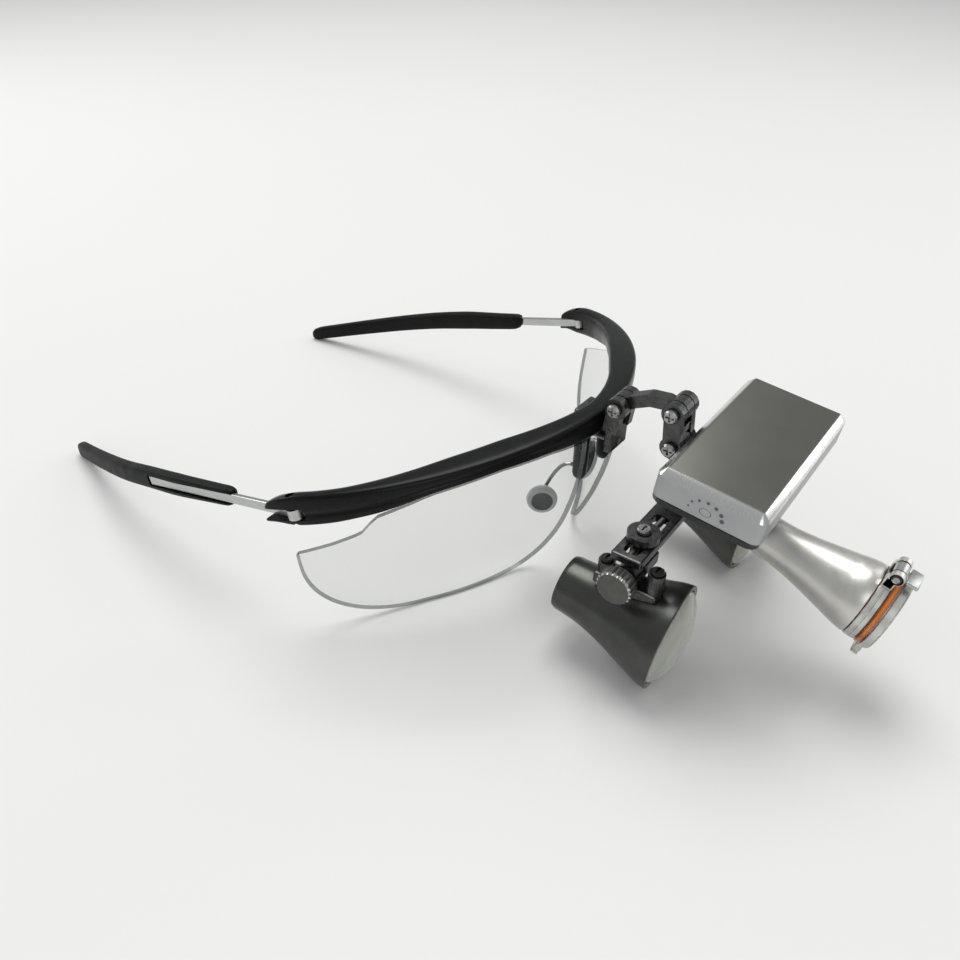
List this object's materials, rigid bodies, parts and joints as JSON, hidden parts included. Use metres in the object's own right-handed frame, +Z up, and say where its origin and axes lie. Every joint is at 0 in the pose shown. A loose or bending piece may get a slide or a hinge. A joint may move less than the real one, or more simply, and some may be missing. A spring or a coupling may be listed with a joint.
{
  "type": "dental loupes",
  "caption": "Flip-up binocular magnifiers and a wireless headlight with a curing filter, carried on half-rim wraparound spectacles with folding temples.",
  "frame": {"origin": "centre of the bounding box at the height of the surface that it rests on", "axes": "+X towards the wearer's left, -Y straight ahead of the wearer, +Z up"},
  "size_m": [0.1476, 0.259, 0.0646],
  "materials": {
    "brow_black": "moulded nylon, satin to gloss black",
    "housing_black": "black moulded housing",
    "sleeve_rubber": "matte black soft rubber",
    "strip_silver": "satin silver spring strip",
    "screw_steel": "plain steel fasteners and pins",
    "gunmetal": "dark grey anodised, satin",
    "cover_aluminium": "grey brushed aluminium with bright chamfers",
    "lamp_silver": "sandblasted silver",
    "clear_lens": "clear polycarbonate",
    "optic_glass": "coated optical glass",
    "orange_filter": "orange curing filter",
    "board_green": "circuit board and light source",
    "battery_wrap": "wrapped lithium cell"
  },
  "bodies": {
    "spectacle_frame": {"brow_frame": "brow_black", "lens_right": "clear_lens", "lens_left": "clear_lens", "nose_pad_arm_right": "screw_steel", "nose_pad_arm_left": "screw_steel", "nose_pad_holder_right": "screw_steel", "nose_pad_holder_left": "screw_steel", "nose_pad_right": "sleeve_rubber", "nose_pad_left": "sleeve_rubber", "temple_hinge_pin_right": "screw_steel", "temple_hinge_pin_left": "screw_steel", "bridge_bracket": "gunmetal", "bracket_clamp_plate": "gunmetal", "bracket_screw": "screw_steel"},
    "upper_link": {"upper_link": "gunmetal", "hinge_screw_1": "screw_steel"},
    "lower_link": {"lower_link": "gunmetal", "hinge_screw_2": "screw_steel"},
    "carrier": {"crossbar": "gunmetal", "hinge_screw_3": "screw_steel", "guide_rod_right": "screw_steel", "guide_rod_left": "screw_steel"},
    "headlight": {"light_top_cover": "cover_aluminium", "light_base_housing": "housing_black", "battery": "battery_wrap", "control_board": "board_green", "light_bracket": "gunmetal", "light_pivot_screw": "screw_steel", "lamp_barrel": "lamp_silver", "lamp_led_module": "board_green", "collimator_lens": "optic_glass", "lamp_ring": "lamp_silver", "filter_hinge_pin": "screw_steel"},
    "filter": {"filter_frame": "strip_silver", "orange_filter": "orange_filter"},
    "temple_right": {"temple_strip_right": "strip_silver", "temple_sleeve_right": "sleeve_rubber"},
    "slider_right": {"slider_block_right": "gunmetal", "slider_lock_screw_right": "screw_steel"},
    "loupe_right": {"loupe_saddle_right": "gunmetal", "loupe_barrel_right": "gunmetal", "objective_lens_right": "optic_glass", "eyepiece_lens_right": "optic_glass", "saddle_screw_rear_right": "screw_steel", "saddle_screw_front_right": "screw_steel"},
    "knob_right": {"tilt_knob_right": "screw_steel"},
    "temple_left": {"temple_strip_left": "strip_silver", "temple_sleeve_left": "sleeve_rubber"},
    "slider_left": {"slider_block_left": "gunmetal", "slider_lock_screw_left": "screw_steel"},
    "loupe_left": {"loupe_saddle_left": "gunmetal", "loupe_barrel_left": "gunmetal", "objective_lens_left": "optic_glass", "eyepiece_lens_left": "optic_glass", "saddle_screw_rear_left": "screw_steel", "saddle_screw_front_left": "screw_steel"},
    "knob_left": {"tilt_knob_left": "screw_steel"}
  },
  "joints": [
    {"name": "upper_link_hinge", "type": "hinge", "parent": "spectacle_frame", "child": "upper_link", "pos_m": [0, -0.04827, 0.0574], "axis": [-1, 0, 0], "range_deg": [-2, 70]},
    {"name": "lower_link_hinge", "type": "hinge", "parent": "upper_link", "child": "lower_link", "pos_m": [0, -0.06398, 0.0615], "axis": [-1, 0, 0], "range_deg": [-4, 18]},
    {"name": "carrier_hinge", "type": "hinge", "parent": "lower_link", "child": "carrier", "pos_m": [0, -0.06488, 0.052], "axis": [-1, 0, 0], "range_deg": [-4, 12]},
    {"name": "headlight_tilt", "type": "hinge", "parent": "carrier", "child": "headlight", "pos_m": [0, -0.07648, 0.0462], "axis": [-1, 0, 0], "range_deg": [-3, 4]},
    {"name": "filter_flip", "type": "hinge", "parent": "headlight", "child": "filter", "pos_m": [0, -0.12452, 0.039], "axis": [-1, 0, 0], "range_deg": [0, 95]},
    {"name": "temple_right_fold", "type": "hinge", "parent": "spectacle_frame", "child": "temple_right", "pos_m": [-0.0702, 0.00473, 0.0391], "axis": [0, -0.2588, -0.9659], "range_deg": [0, 88]},
    {"name": "slider_right_slide", "type": "slide", "parent": "carrier", "child": "slider_right", "axis": [-1, 0, 0], "range_m": [-0.0016, 0.003]},
    {"name": "loupe_right_tilt", "type": "hinge", "parent": "slider_right", "child": "loupe_right", "pos_m": [-0.03, -0.07007, 0.0323], "axis": [-1, 0, 0], "range_deg": [-4, 8]},
    {"name": "knob_right_turn", "type": "hinge", "parent": "slider_right", "child": "knob_right", "pos_m": [-0.038, -0.07007, 0.0323], "axis": [-1, 0, 0], "range_deg": [-90, 90]},
    {"name": "temple_left_fold", "type": "hinge", "parent": "spectacle_frame", "child": "temple_left", "pos_m": [0.0702, 0.00473, 0.0391], "axis": [0, 0.2588, 0.9659], "range_deg": [0, 72]},
    {"name": "slider_left_slide", "type": "slide", "parent": "carrier", "child": "slider_left", "axis": [1, 0, 0], "range_m": [-0.0016, 0.003]},
    {"name": "loupe_left_tilt", "type": "hinge", "parent": "slider_left", "child": "loupe_left", "pos_m": [0.03, -0.07007, 0.0323], "axis": [-1, 0, 0], "range_deg": [-4, 8]},
    {"name": "knob_left_turn", "type": "hinge", "parent": "slider_left", "child": "knob_left", "pos_m": [0.038, -0.07007, 0.0323], "axis": [1, 0, 0], "range_deg": [-90, 90]}
  ]
}
